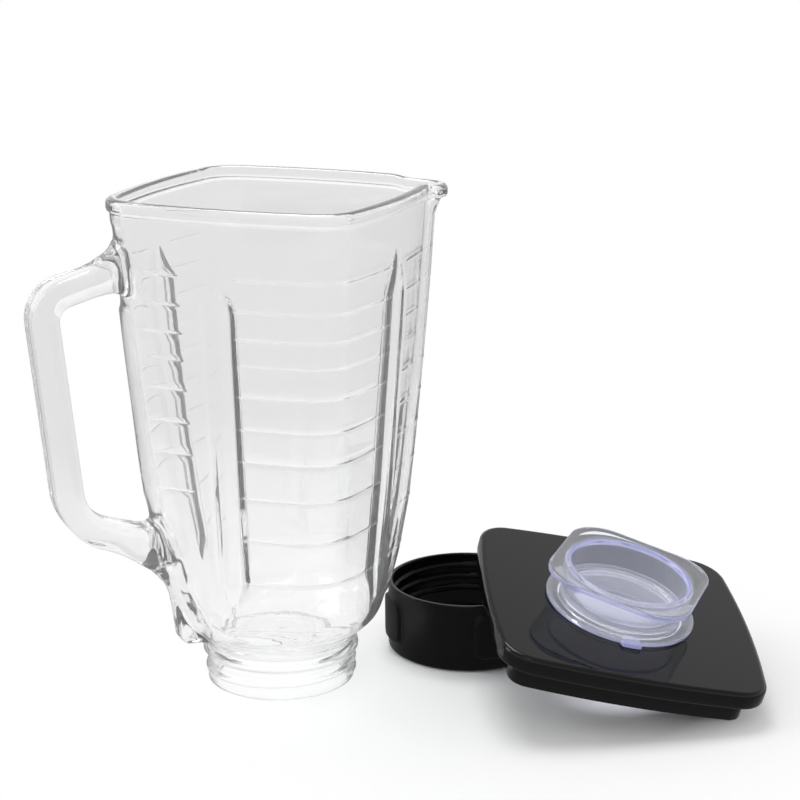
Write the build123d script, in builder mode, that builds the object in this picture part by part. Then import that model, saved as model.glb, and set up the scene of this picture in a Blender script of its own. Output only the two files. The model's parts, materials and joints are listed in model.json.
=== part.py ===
"""Blender jar set: glass jar, threaded bottom collar, lid and filler cap.

Millimetres, +Z up, floor at z = 0. The origin is the centre of the jar's neck foot.
The front face of the jar looks to -Y, the handle is at the (-X, -Y) corner and
the pour spout at the (+X, +Y) corner.
"""
import math
import os

from build123d import *

os.makedirs("parts", exist_ok=True)

# Driving sizes of the jar
jar_height = 222.0
neck_height = 19.0
thread_diameter = 70.0
thread_depth = 2.0
glass_wall = 4.0
top_width = 118.0
bead_height = 5.5
bead_overhang = 1.2
handle_width = 17.0
handle_thickness = 12.4
handle_reach = 38.0
flute_depth = 2.6
spout_reach = 7.0

# Driving sizes of the collar
collar_height = 31.8
collar_wall = 2.0
pad_count = 4
pad_rise = 1.8

# Driving sizes of the lid and the filler cap
lid_overhang = 1.4
lid_flange = 7.6
plug_depth = 10.4
plastic_wall = 2.4
cup_diameter = 53.2
cup_depth = 14.0
cap_height = 18.4

# Clearances
thread_clearance = 0.25
mouth_clearance = 0.5
cap_clearance = 0.4
rest_gap = 0.1
stand_gap = 7.8

# Shared derived sizes
neck_r = thread_diameter / 2 - thread_depth
bore_r = neck_r - glass_wall
top_half = top_width / 2
mouth_half = top_half - glass_wall
body_height = jar_height - neck_height
HANDLE_PLANE = Plane(origin=(0, 0, 0), x_dir=(-1, -1, 0), z_dir=(-1, 1, 0))

# Body rows: height ratio, width ratio, corner radius / half width, side radius / half width
BODY_ROWS = [
    (-0.004, -0.030, 0.980, 1.02),
    (0.025, 0.141, 0.960, 1.04),
    (0.054, 0.379, 0.890, 1.28),
    (0.094, 0.492, 0.790, 1.60),
    (0.138, 0.564, 0.680, 2.05),
    (0.202, 0.607, 0.570, 2.70),
    (0.290, 0.666, 0.440, 3.50),
    (0.399, 0.733, 0.380, 4.00),
    (0.546, 0.811, 0.345, 4.20),
    (0.718, 0.906, 0.315, 4.25),
    (0.900, 0.978, 0.285, 4.30),
    (1.000, 1.004, 0.270, 4.30),
]


def corner_centre(half, side_r, corner_r):
    """Distance of a corner arc's centre from both axes."""
    k = half - side_r
    return (k + math.sqrt(2 * (side_r - corner_r) ** 2 - k * k)) / 2


def corner_reach(half, side_r, corner_r):
    """Distance of the corner from the axis, on the diagonal."""
    return corner_centre(half, side_r, corner_r) * math.sqrt(2) + corner_r


def bowed_square(half, side_r, corner_r, z):
    """Square face with bowed sides and tangent round corners, at height z."""
    k = half - side_r
    c = corner_centre(half, side_r, corner_r)
    reach = math.atan2(c, c - k)
    with BuildSketch(Plane.XY.offset(z)) as sketch:
        with BuildLine():
            for turn in range(4):
                spin = turn * math.pi / 2

                def at(cx, cy, r, angle):
                    x = cx + r * math.cos(angle)
                    y = cy + r * math.sin(angle)
                    return (x * math.cos(spin) - y * math.sin(spin), x * math.sin(spin) + y * math.cos(spin))

                ThreePointArc(at(k, 0, side_r, -reach), at(k, 0, side_r, 0), at(k, 0, side_r, reach))
                ThreePointArc(
                    at(c, c, corner_r, reach),
                    at(c, c, corner_r, math.pi / 4),
                    at(c, c, corner_r, math.pi / 2 - reach),
                )
        make_face()
    return sketch.sketch.faces()[0]


def body_row(row):
    """Height, half width, side radius and corner radius of one outer row."""
    t, s, corner, side = row
    half = neck_r + (top_half - neck_r) * s
    return neck_height + body_height * t, half, half * side, half * corner


def body_at(z):
    """Half width, side radius and corner radius of the outer body at height z."""
    rows = [body_row(row) for row in BODY_ROWS]
    for low, high in zip(rows, rows[1:]):
        if z <= high[0]:
            f = max(0.0, (z - low[0]) / (high[0] - low[0]))
            return tuple(a + (b - a) * f for a, b in zip(low[1:], high[1:]))
    return rows[-1][1:]


def outer_faces():
    return [bowed_square(half, side, corner, z) for z, half, side, corner in map(body_row, BODY_ROWS)]


def inner_faces():
    """Rows of the cavity: each outer row moved in by the wall, square to the profile."""
    rows = [body_row(row) for row in BODY_ROWS]
    faces = []
    for i in range(len(rows)):
        z, half, side, corner = rows[i]
        below = rows[max(i - 1, 0)]
        above = rows[min(i + 1, len(rows) - 1)]
        slope = (above[1] - below[1]) / (above[0] - below[0])
        length = math.sqrt(1 + slope * slope)
        inset = glass_wall / length
        lift = glass_wall * slope / length
        if i == 0:
            inset, lift = half - bore_r + 1.5, lift - 1.5
        if i == len(rows) - 1:
            inset, lift = glass_wall, 0.0
        faces.append(bowed_square(half - inset, side - inset, corner - inset, z + lift))
    return faces


def round_bar(width, height, corner, plane):
    with BuildSketch(plane) as sketch:
        RectangleRounded(width, height, corner)
    return sketch.sketch.faces()[0]


# Handle path in the handle plane: distance from the axis, height
top_corner = corner_reach(*body_at(neck_height + 0.84 * body_height))
low_corner = corner_reach(*body_at(neck_height + 0.26 * body_height))
grip_top = top_corner + handle_reach
grip_low = low_corner + handle_reach
upper_root = (top_corner - 4.0, neck_height + 0.855 * body_height)
upper_bend = (grip_top - handle_thickness / 2 + 4.0, neck_height + 0.800 * body_height)
lower_bend = (grip_low - handle_thickness / 2 + 4.5, neck_height + 0.318 * body_height)
lower_root = (low_corner - 5.0, neck_height + 0.235 * body_height)
bend_radius = 1.45 * handle_thickness


def path_plane(point, toward):
    """Plane across the handle at a point, facing another point; both in the handle plane."""
    a = HANDLE_PLANE.from_local_coords(Vector(*point))
    b = HANDLE_PLANE.from_local_coords(Vector(*toward))
    return Plane(origin=a, x_dir=HANDLE_PLANE.z_dir, z_dir=b - a)


def along(a, b, f):
    return (a[0] + (b[0] - a[0]) * f, a[1] + (b[1] - a[1]) * f)


grip_middle = along(upper_bend, lower_bend, 0.5)

# Flutes: a pointed spindle beside each face, outside the glass
flute_low = neck_height + 0.13 * body_height
flute_high = neck_height + 0.86 * body_height
flute_r = 2.0 * flute_depth


def flute_spindle(radius, grow):
    """Spindle along a face's centre line, at the +X face; grow lengthens its ends."""
    low_half = body_at(flute_low)[0]
    high_half = body_at(flute_high)[0]
    off = flute_r - flute_depth
    low = Vector(low_half + off, 0, flute_low)
    high = Vector(high_half + off, 0, flute_high)
    axis = (high - low).normalized()
    length = (high - low).length
    plane = Plane(origin=low, x_dir=(0, 1, 0), z_dir=axis)
    point = 5.0 * flute_depth
    with BuildPart() as spindle:
        with BuildSketch(Plane(origin=low, x_dir=plane.x_dir, z_dir=plane.y_dir)) as half_profile:
            with BuildLine():
                Polyline(
                    (0, grow),
                    (0.25 * radius, grow),
                    (radius, -point),
                    (radius, -length + point),
                    (0.25 * radius, -length - grow),
                    (0, -length - grow),
                    close=True,
                )
            make_face()
        revolve(axis=Axis(low, axis), revolution_arc=360)
    return spindle.part


# Rim and pour spout sizes
rim_half, rim_side, rim_corner = body_at(jar_height)
rim_reach = corner_reach(rim_half, rim_side, rim_corner)
ring_z = 0.80 * neck_height
foot_round = 0.3 * glass_wall
bore_top = neck_height + 1.5
bore_flare = 1.05 * glass_wall
spout_r = 13.0
lip_s = (rim_reach + bead_overhang + spout_reach - spout_r) / math.sqrt(2)

# Pour channel below the lip: height ratio, stand-out from the corner / spout reach, radius / corner radius
SPOUT_ROWS = [
    (0.100, -0.10, 0.92),
    (0.180, 0.20, 0.88),
    (0.300, 0.30, 0.86),
    (0.550, 0.29, 0.86),
    (0.820, 0.31, 0.84),
    (0.935, 0.37, 0.82),
]


def spout_faces(shrink, lip_z):
    """Round faces of the spout from its foot up to the lip; shrink makes the inside channel."""
    rows = []
    for t, stand, ratio in SPOUT_ROWS:
        z = neck_height + body_height * t
        half, side, corner = body_at(z)
        radius = ratio * corner
        rows.append((z, corner_reach(half, side, corner) + stand * spout_reach - radius, radius))
    rows.append((lip_z, lip_s * math.sqrt(2) - 0.5, spout_r - 0.9))
    faces = []
    for z, away, radius in rows:
        with BuildSketch(Plane.XY.offset(z)) as ring:
            with Locations((away / math.sqrt(2), away / math.sqrt(2))):
                Circle(radius - shrink)
        faces.append(ring.sketch.faces()[0])
    return faces


# Rim bead, one rounded band round the mouth and the spout
with BuildPart() as rim_bead:
    with BuildSketch(Plane.XY.offset(jar_height - bead_height)) as bead_outline:
        add(
            bowed_square(
                rim_half + bead_overhang,
                rim_side + bead_overhang,
                rim_corner + bead_overhang,
                0,
            )
        )
        with Locations((lip_s, lip_s)):
            Circle(spout_r)
        pinch = bead_outline.vertices().filter_by(
            lambda v: abs(math.hypot(v.X - lip_s, v.Y - lip_s) - spout_r) < 0.01
        )
        fillet(pinch, radius=1.1 * spout_r)
    extrude(amount=bead_height)
    fillet(rim_bead.faces().sort_by(Axis.Z)[-1].edges(), radius=0.40 * bead_height)
    chamfer(rim_bead.faces().sort_by(Axis.Z)[0].edges(), length=0.20 * bead_height)

# Glass jar
with BuildPart() as glass_jar:
    loft(outer_faces())
    # Neck with its transfer ring
    with BuildSketch(HANDLE_PLANE):
        with BuildLine():
            Polyline(
                (bore_r - 1.0, 0),
                (neck_r - foot_round, 0),
                (neck_r, foot_round),
                (neck_r, ring_z - 2.2),
                (thread_diameter / 2, ring_z - 0.8),
                (thread_diameter / 2, ring_z + 0.8),
                (neck_r, ring_z + 2.2),
                (neck_r, neck_height + 2.0),
                (bore_r - 1.0, neck_height + 2.0),
                close=True,
            )
        make_face()
    revolve(axis=Axis.Z, revolution_arc=360)
    # Rim bead and spout
    add(rim_bead.part)
    loft(spout_faces(0.0, jar_height - 0.5 * bead_height))
    # Handle
    with BuildLine(HANDLE_PLANE) as handle_path:
        FilletPolyline(upper_root, upper_bend, grip_middle, radius=bend_radius)
        FilletPolyline(grip_middle, lower_bend, lower_root, radius=1.5 * bend_radius)
    sweep(
        round_bar(handle_width, handle_thickness, 0.36 * handle_thickness, path_plane(upper_root, upper_bend)),
        path=handle_path.line,
    )
    # Flared roots of the handle
    for root, bend, tall in ((upper_root, upper_bend, 1.95), (lower_root, lower_bend, 1.15)):
        loft(
            [
                round_bar(1.45 * handle_width, tall * handle_thickness, 0.36 * handle_thickness,
                          path_plane(root, bend)),
                round_bar(1.12 * handle_width, (0.55 + 0.45 * tall) * handle_thickness,
                          0.36 * handle_thickness, path_plane(along(root, bend, 0.16), bend)),
                round_bar(handle_width, handle_thickness, 0.36 * handle_thickness,
                          path_plane(along(root, bend, 0.42), bend)),
            ]
        )
    # Lug under the handle
    lug_half, lug_side, lug_corner = body_at(neck_height + 0.14 * body_height)
    lug_reach = corner_reach(lug_half, lug_side, lug_corner)
    lug_foot = neck_height + 3.0
    with BuildSketch(HANDLE_PLANE.offset(-0.26 * handle_width)) as lug:
        with BuildLine():
            Polyline(
                (bore_r + 2.0, lug_foot),
                (lug_reach - 7.0, lug_foot),
                (lug_reach - 3.8, lug_foot + 3.0),
                (lug_reach - 1.0, neck_height + 0.130 * body_height),
                (lug_reach + 1.5, neck_height + 0.155 * body_height),
                (low_corner + 4.0, neck_height + 0.195 * body_height),
                (bore_r + 2.0, neck_height + 0.195 * body_height),
                close=True,
            )
        make_face()
    extrude(lug.sketch, amount=0.52 * handle_width)
    # Flutes on the outside of the four faces
    for turn in range(4):
        add(flute_spindle(flute_r, 0.0).rotate(Axis.Z, 90 * turn), mode=Mode.SUBTRACT)
    # Cavity with the ridges behind the flutes, then the neck bore
    cavity = loft(inner_faces(), mode=Mode.PRIVATE)
    for turn in range(4):
        cavity = cavity - flute_spindle(flute_r + glass_wall, 0.5 * glass_wall).rotate(Axis.Z, 90 * turn)
    add(cavity, mode=Mode.SUBTRACT)
    with BuildSketch(HANDLE_PLANE) as bore_cut:
        with BuildLine():
            Polyline(
                (0, -1.0),
                (bore_r, -1.0),
                (bore_r, bore_top),
                (bore_r + bore_flare, bore_top + 1.3 * bore_flare),
                (0, bore_top + 1.3 * bore_flare),
                close=True,
            )
        make_face()
    revolve(bore_cut.sketch, axis=Axis.Z, revolution_arc=360, mode=Mode.SUBTRACT)
    # Eased inner edge of the mouth
    ease = 0.45 * glass_wall
    mouth_cut = []
    for grow, rise in ((-ease, -2 * ease), (1.1 * ease, 0.1 * ease)):
        move = grow - glass_wall
        mouth_cut.append(bowed_square(rim_half + move, rim_side + move, rim_corner + move, jar_height + rise))
    loft(mouth_cut, mode=Mode.SUBTRACT)
    # Spout channel
    loft(spout_faces(glass_wall - 0.4, jar_height + 1.0), mode=Mode.SUBTRACT)
glass_jar.part.label = "glass_jar"
export_step(glass_jar.part, "parts/glass_jar.step")

# Bottom collar, clear of the jar's spout-side corner
collar_inner = thread_diameter / 2 + thread_clearance
collar_outer = collar_inner + collar_wall
collar_low = collar_outer - 0.2
low_reach = corner_reach(*body_at(collar_height + 6.0))
collar_s = (low_reach + stand_gap + collar_outer) / math.sqrt(2)
collar_at = (collar_s, collar_s)
floor_ring = bore_r - 2.0
pad_turn = 220.0

with BuildPart() as bottom_collar:
    with BuildSketch(Plane.XZ):
        with BuildLine():
            Polyline(
                (floor_ring, 0),
                (collar_low, 0),
                (collar_outer, collar_height),
                (collar_inner, collar_height),
                (collar_inner, 1.6 * collar_wall),
                (floor_ring, 1.6 * collar_wall),
                close=True,
            )
        make_face()
    revolve(axis=Axis.Z, revolution_arc=360)
    foot = bottom_collar.edges().filter_by(GeomType.CIRCLE).filter_by(
        lambda e: abs(e.radius - collar_low) < 0.01
    )
    fillet(foot, radius=0.8 * collar_wall)
    # Grip pads, concentric with the wall
    pad_tall = 0.70 * collar_height
    pad_wide = 0.54 * collar_outer
    with BuildSketch(Plane.XZ) as pad:
        with Locations((0, 0.53 * collar_height)):
            RectangleRounded(pad_wide, pad_tall, 0.27 * pad_wide)
    pad_bar = extrude(pad.sketch, amount=collar_outer + pad_rise, mode=Mode.PRIVATE)
    sleeve = Cylinder(
        collar_outer + pad_rise,
        collar_height,
        align=(Align.CENTER, Align.CENTER, Align.MIN),
        mode=Mode.PRIVATE,
    ) - Cylinder(
        collar_outer - 0.6 * collar_wall,
        collar_height,
        align=(Align.CENTER, Align.CENTER, Align.MIN),
        mode=Mode.PRIVATE,
    )
    grip_pad = pad_bar & sleeve
    for turn in range(pad_count):
        add(grip_pad.rotate(Axis.Z, pad_turn + 90 + 360 * turn / pad_count))
bottom_collar.part.label = "bottom_collar"
bottom_collar.part = bottom_collar.part.moved(Location((collar_at[0], collar_at[1], 0)))
export_step(bottom_collar.part, "parts/bottom_collar.step")

# Lid sizes: the plug enters the jar's mouth, the flange rests on the bead
plug_half = mouth_half - mouth_clearance
lid_half = rim_half + bead_overhang + lid_overhang
lid_side = 7.0 * lid_half
lid_corner = 0.25 * lid_half
plug_inset = lid_half - plug_half
plug_bottom = lid_flange + plug_depth
hole_r = cup_diameter / 2 + 2.0
lid_turn = math.radians(27.0)
lean_x = 0.99 * lid_half
lean_y = -0.87 * lid_half
lid_at = (
    collar_at[0] + lean_x * math.cos(lid_turn) - lean_y * math.sin(lid_turn),
    collar_at[1] + lean_x * math.sin(lid_turn) + lean_y * math.cos(lid_turn),
)


def square_outline(half, side_r, corner_r, count):
    """Points round a bowed square."""
    k = half - side_r
    c = corner_centre(half, side_r, corner_r)
    reach = math.atan2(c, c - k)
    points = []
    for turn in range(4):
        spin = turn * math.pi / 2
        arcs = ((k, 0.0, side_r, -reach, reach), (c, c, corner_r, reach, math.pi / 2 - reach))
        for cx, cy, r, first, last in arcs:
            for i in range(count):
                angle = first + (last - first) * i / count
                x = cx + r * math.cos(angle)
                y = cy + r * math.sin(angle)
                points.append((x * math.cos(spin) - y * math.sin(spin), x * math.sin(spin) + y * math.cos(spin)))
    return points


def lid_axes(rise_x, rise_y):
    """Lid axes for a plane that rises by these slopes along its heading and across it."""
    n = Vector(-rise_x, -rise_y, 1).normalized()
    x = Vector(1, 0, rise_x).normalized()
    y = n.cross(x)
    turned = []
    for v in (x, y, n):
        turned.append(
            Vector(
                v.X * math.cos(lid_turn) - v.Y * math.sin(lid_turn),
                v.X * math.sin(lid_turn) + v.Y * math.cos(lid_turn),
                v.Z,
            )
        )
    return turned


def contact_points(pose, edge):
    """Lowest edge point over the floor, and over the collar's rim on each side of the corner."""
    height, rise_x, rise_y = pose
    x, y, n = lid_axes(rise_x, rise_y)
    best = [None, None, None]
    for px, py in edge:
        wx = lid_at[0] + px * x.X + py * y.X - plug_bottom * n.X
        wy = lid_at[1] + px * x.Y + py * y.Y - plug_bottom * n.Y
        wz = height + px * x.Z + py * y.Z - plug_bottom * n.Z
        if best[0] is None or wz < best[0][0]:
            best[0] = (wz, px, py)
        away = math.hypot(wx - collar_at[0], wy - collar_at[1])
        if collar_inner - 0.5 < away < collar_outer + 0.5:
            side = 1 if px + py < 0 else 2
            gap = wz - collar_height - rest_gap
            if best[side] is None or gap < best[side][0]:
                best[side] = (gap, px, py)
    return best


def lean_on_collar():
    """Lid height and slopes with one plug corner on the floor and two plug edges on the rim."""
    edge = []
    for inset in (0.0, plastic_wall):
        edge += square_outline(plug_half - inset, lid_side - plug_inset - inset, lid_corner - plug_inset - inset, 160)
    pose = [37.0, -0.18, 0.18]
    for step in range(12):
        contacts = contact_points(pose, edge)
        # Newton step with the contact points held
        rows = []
        for gap, px, py in contacts:
            row = [gap]
            for i in range(3):
                moved = list(pose)
                moved[i] += 1e-4
                here = lid_height(pose, px, py)
                row.append((lid_height(moved, px, py) - here) / 1e-4)
            rows.append(row)
        change = solve_three(rows)
        pose = [p + d for p, d in zip(pose, change)]
    spare = min(contact[0] for contact in contact_points(pose, edge))
    pose[0] -= min(spare, 0.0)
    return pose


def lid_height(pose, px, py):
    """Height of a plug edge point."""
    x, y, n = lid_axes(pose[1], pose[2])
    return pose[0] + px * x.Z + py * y.Z - plug_bottom * n.Z


def solve_three(rows):
    """Change of three unknowns that brings three gaps to zero."""
    m = [[row[1], row[2], row[3], -row[0]] for row in rows]
    for i in range(3):
        pivot = max(range(i, 3), key=lambda r: abs(m[r][i]))
        m[i], m[pivot] = m[pivot], m[i]
        m[i] = [value / m[i][i] for value in m[i]]
        for r in range(3):
            if r != i:
                m[r] = [a - m[r][i] * b for a, b in zip(m[r], m[i])]
    return [m[i][3] for i in range(3)]


lid_pose = lean_on_collar()
lid_x, lid_y, lid_n = lid_axes(lid_pose[1], lid_pose[2])
LID_PLACE = Location(Plane(origin=(lid_at[0], lid_at[1], lid_pose[0]), x_dir=lid_x, z_dir=lid_n))

# Lid, in its own frame with the top face at z = 0
with BuildPart() as lid:
    extrude(bowed_square(lid_half, lid_side, lid_corner, -lid_flange), amount=lid_flange, dir=(0, 0, 1))
    fillet(lid.faces().sort_by(Axis.Z)[-1].edges(), radius=0.28 * lid_flange)
    chamfer(lid.faces().sort_by(Axis.Z)[0].edges(), length=0.10 * lid_flange)
    plug = bowed_square(plug_half, lid_side - plug_inset, lid_corner - plug_inset, -plug_bottom)
    extrude(plug, amount=plug_depth + 1.0, dir=(0, 0, 1))
    hollow_inset = plug_inset + plastic_wall
    hollow = bowed_square(lid_half - hollow_inset, lid_side - hollow_inset, lid_corner - hollow_inset, -plug_bottom)
    extrude(hollow, amount=plug_bottom - plastic_wall, dir=(0, 0, 1), mode=Mode.SUBTRACT)
    # Tube round the filler hole
    tube_drop = 0.62 * plug_bottom
    with Locations((0, 0, -tube_drop)):
        Cylinder(hole_r + plastic_wall, tube_drop - 0.5, align=(Align.CENTER, Align.CENTER, Align.MIN))
    with Locations((0, 0, -plug_bottom - 1)):
        Cylinder(hole_r, plug_bottom + 2, align=(Align.CENTER, Align.CENTER, Align.MIN), mode=Mode.SUBTRACT)
lid.part.label = "lid"
lid.part = lid.part.moved(LID_PLACE)
export_step(lid.part, "parts/lid.step")

# Filler cap, in the lid's frame
cup_top_r = cup_diameter / 2
cup_low_r = cup_top_r - 1.6
cap_wall = 2.0
cup_floor = cap_height - cup_depth
ring_r = hole_r + 5.1
skirt_r = hole_r - cap_clearance
skirt_drop = 0.45 * plug_bottom
flange_half = ring_r - 0.9
with BuildPart() as filler_cap:
    with BuildSketch(Plane.XZ):
        with BuildLine():
            Polyline(
                (0, cup_floor - cap_wall),
                (skirt_r - cap_wall, cup_floor - cap_wall),
                (skirt_r - cap_wall, -skirt_drop),
                (skirt_r, -skirt_drop),
                (skirt_r, rest_gap),
                (ring_r, rest_gap),
                (ring_r, rest_gap + cap_wall),
                (cup_low_r + cap_wall, rest_gap + cap_wall),
                (cup_top_r + cap_wall, cap_height - 0.5),
                (cup_top_r, cap_height),
                (cup_low_r, cup_floor),
                (0, cup_floor),
                close=True,
            )
        make_face()
    revolve(axis=Axis.Z, revolution_arc=360)
    # Square pouring flange and the small tab on the ring
    with BuildSketch(Plane.XY.offset(cap_height - 1.2 * cap_wall)) as cap_flange:
        RectangleRounded(2 * flange_half, 2 * flange_half, 0.53 * flange_half, rotation=-25)
        Circle(cup_top_r + 0.5, mode=Mode.SUBTRACT)
    extrude(amount=1.2 * cap_wall)
    with Locations((0, -ring_r, rest_gap)):
        Box(9.0, 4.0, 1.3 * cap_wall, align=(Align.CENTER, Align.CENTER, Align.MIN))
filler_cap.part.label = "filler_cap"
filler_cap.part = filler_cap.part.moved(LID_PLACE)
export_step(filler_cap.part, "parts/filler_cap.step")
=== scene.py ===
# %% [markdown]
# # A glass blender jar, with its collar, lid and filler cap
#
# The set lies as for a catalogue picture: the heavy glass jar stands on its threaded neck,
# the black collar stands beside it, and the black lid leans on the collar with the clear
# filler cap in its hole. The CAD model gives the frame, and everything below is in that frame.
# The studio is in metres. The pieces are worked out in millimetres, as on a drawing, and become
# metres when a mesh is made.

# %% Load the frame
import json
import math

import bpy
import numpy as np
from mathutils import Matrix, Vector
from mathutils.kdtree import KDTree


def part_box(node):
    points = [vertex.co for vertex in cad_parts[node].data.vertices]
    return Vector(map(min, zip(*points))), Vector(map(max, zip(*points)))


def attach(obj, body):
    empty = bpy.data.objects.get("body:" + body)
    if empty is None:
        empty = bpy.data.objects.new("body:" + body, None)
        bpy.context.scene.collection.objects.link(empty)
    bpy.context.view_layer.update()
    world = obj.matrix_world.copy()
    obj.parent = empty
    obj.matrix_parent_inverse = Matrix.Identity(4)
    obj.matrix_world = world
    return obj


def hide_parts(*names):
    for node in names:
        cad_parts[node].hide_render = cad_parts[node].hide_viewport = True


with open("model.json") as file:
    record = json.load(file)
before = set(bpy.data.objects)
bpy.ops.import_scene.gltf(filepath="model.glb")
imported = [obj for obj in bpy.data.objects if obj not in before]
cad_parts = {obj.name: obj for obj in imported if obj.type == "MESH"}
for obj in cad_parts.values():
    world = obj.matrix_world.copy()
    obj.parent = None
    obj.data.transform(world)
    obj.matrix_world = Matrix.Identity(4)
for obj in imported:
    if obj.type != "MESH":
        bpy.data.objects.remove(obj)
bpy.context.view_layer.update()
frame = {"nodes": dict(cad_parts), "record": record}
MM = 0.001
FULL_TURN = 2 * math.pi
QUARTER_TURN = math.pi / 2
EIGHTH_TURN = math.pi / 4

# %% [markdown]
# ## Camera
#
# The picture is taken from above the rim with a long lens. A camera could be placed by eye, but this
# one was worked out from the ellipses of the neck, the collar and the rim, so that the same pieces
# fall on the same places of the picture.

# %% Camera
camera_place = (0.36906, -0.78383, 0.35973)
camera_pitch = 75.013
camera_turn = 21.647
bpy.ops.object.select_all(action="DESELECT")
bpy.ops.object.camera_add(
    location=camera_place,
    rotation=(math.radians(camera_pitch), 0.0, math.radians(camera_turn)),
)
camera = bpy.context.object
camera.name = "picture_camera"
camera.data.sensor_width = 36.0
camera.data.lens = 91.79
bpy.context.scene.camera = camera
print("camera at", camera_place, "lens", round(camera.data.lens, 2))

# %% [markdown]
# ## Studio
#
# Clear glass has no colour of its own: it shows what stands round it. A curved backdrop with many
# lamps could stand round the set, but one white floor under a pale sky does the same with less.
# The floor keeps a soft shadow close to the pieces and turns to plain white further out. Rays that
# come through glass find the far floor a little dimmer, so the jar goes from white low down to grey
# high up. Mirror rays find the floor much dimmer, so black plastic stays black. The sky gets darker
# overhead, which gives the glass its grey edges.


# %% Node helpers
def grey(shade):
    """A grey colour."""
    return (shade, shade, shade, 1.0)


def empty_finish(name):
    """A material with no nodes yet; gives the material, its nodes and its links."""
    finish = bpy.data.materials.new(name)
    finish.use_nodes = True
    finish.node_tree.nodes.clear()
    return finish, finish.node_tree.nodes, finish.node_tree.links


def math_node(nodes, links, operation, *values):
    """Result of a Math node; each value is a number or another node's output."""
    node = nodes.new("ShaderNodeMath")
    node.operation = operation
    for socket, value in zip(node.inputs, values):
        if isinstance(value, bpy.types.NodeSocket):
            links.new(value, socket)
        else:
            socket.default_value = value
    return node.outputs[0]


def spread(nodes, links, source, low, high, start=0.0, stop=1.0):
    """A value that goes from low to high while its source goes from start to stop."""
    ramp = nodes.new("ShaderNodeMapRange")
    for socket, value in (("From Min", start), ("From Max", stop), ("To Min", low), ("To Max", high)):
        ramp.inputs[socket].default_value = value
    links.new(source, ramp.inputs["Value"])
    return ramp.outputs["Result"]


def mix_shaders(nodes, links, share, first, second):
    """Two shaders mixed: only the first at a share of 0, only the second at 1."""
    mix = nodes.new("ShaderNodeMixShader")
    for socket, source in zip(mix.inputs, (share, first, second)):
        links.new(source, socket)
    return mix.outputs[0]


# %% Floor
floor_size = 14.0
floor_z = -0.0002
floor_shade = 0.88
shadow_middle = (0.11, 0.04, 0.0)
shadow_fade = (0.08, 0.17)
dimmer_from_to = (0.17, 0.46)
dim_through_glass = 0.22
dim_in_mirror = 0.65
bpy.ops.mesh.primitive_plane_add(size=floor_size, location=(0.0, 0.0, floor_z))
floor = bpy.context.object
floor.name = "studio_floor"

floor_finish, nodes, links = empty_finish("floor_white")
floor_spot = nodes.new("ShaderNodeTexCoord")
apart = nodes.new("ShaderNodeVectorMath")
apart.operation = "DISTANCE"
apart.inputs[1].default_value = shadow_middle
links.new(floor_spot.outputs["Object"], apart.inputs[0])
past_shadow = spread(nodes, links, apart.outputs["Value"], 0.0, 1.0, *shadow_fade)
far_off = spread(nodes, links, apart.outputs["Value"], 0.0, 1.0, *dimmer_from_to)
rays = nodes.new("ShaderNodeLightPath")
through = rays.outputs["Is Transmission Ray"]
seen = math_node(nodes, links, "MAXIMUM", rays.outputs["Is Camera Ray"], through)
mirror = math_node(nodes, links, "SUBTRACT", rays.outputs["Is Glossy Ray"], through)
mirror.node.use_clamp = True
white_share = math_node(nodes, links, "MULTIPLY", seen, past_shadow)
white_share = math_node(nodes, links, "MAXIMUM", white_share, mirror)
behind = math_node(nodes, links, "MULTIPLY", through, far_off)
brightness = math_node(nodes, links, "MULTIPLY_ADD", behind, -dim_through_glass, 1.0)
brightness = math_node(nodes, links, "MULTIPLY_ADD", mirror, -dim_in_mirror, brightness)
paint = nodes.new("ShaderNodeBsdfDiffuse")
paint.inputs["Color"].default_value = grey(floor_shade)
glow = nodes.new("ShaderNodeEmission")
glow.inputs["Color"].default_value = grey(1.0)
links.new(brightness, glow.inputs["Strength"])
floor_end = nodes.new("ShaderNodeOutputMaterial")
floor_mix = mix_shaders(nodes, links, white_share, paint.outputs[0], glow.outputs[0])
links.new(floor_mix, floor_end.inputs["Surface"])
floor.data.materials.append(floor_finish)
print("floor", floor_size, "m wide, plain white from", shadow_fade[1], "m out")

# %% World
# Shade of the sky level with the eye, overhead, and at shares of the way up between them
sky_level = 1.0
sky_overhead = 0.62
SKY_BETWEEN = ((0.30, 0.90), (0.55, 0.62), (0.80, 0.45))
world = bpy.data.worlds.new("studio_air")
bpy.context.scene.world = world
world.use_nodes = True
nodes = world.node_tree.nodes
links = world.node_tree.links
nodes.clear()
look = nodes.new("ShaderNodeTexCoord")
split = nodes.new("ShaderNodeSeparateXYZ")
sky = nodes.new("ShaderNodeValToRGB")
sky.color_ramp.elements[0].color = grey(sky_level)
sky.color_ramp.elements[1].color = grey(sky_overhead)
for up, shade in SKY_BETWEEN:
    sky.color_ramp.elements.new(up).color = grey(shade)
air = nodes.new("ShaderNodeBackground")
air.inputs["Strength"].default_value = 1.0
world_end = nodes.new("ShaderNodeOutputWorld")
links.new(look.outputs["Generated"], split.inputs[0])
links.new(split.outputs["Z"], sky.inputs["Fac"])
links.new(sky.outputs["Color"], air.inputs["Color"])
links.new(air.outputs[0], world_end.inputs["Surface"])
bpy.context.scene.view_settings.view_transform = "Standard"
print("sky from", sky_level, "level with the eye to", sky_overhead, "overhead")

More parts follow.
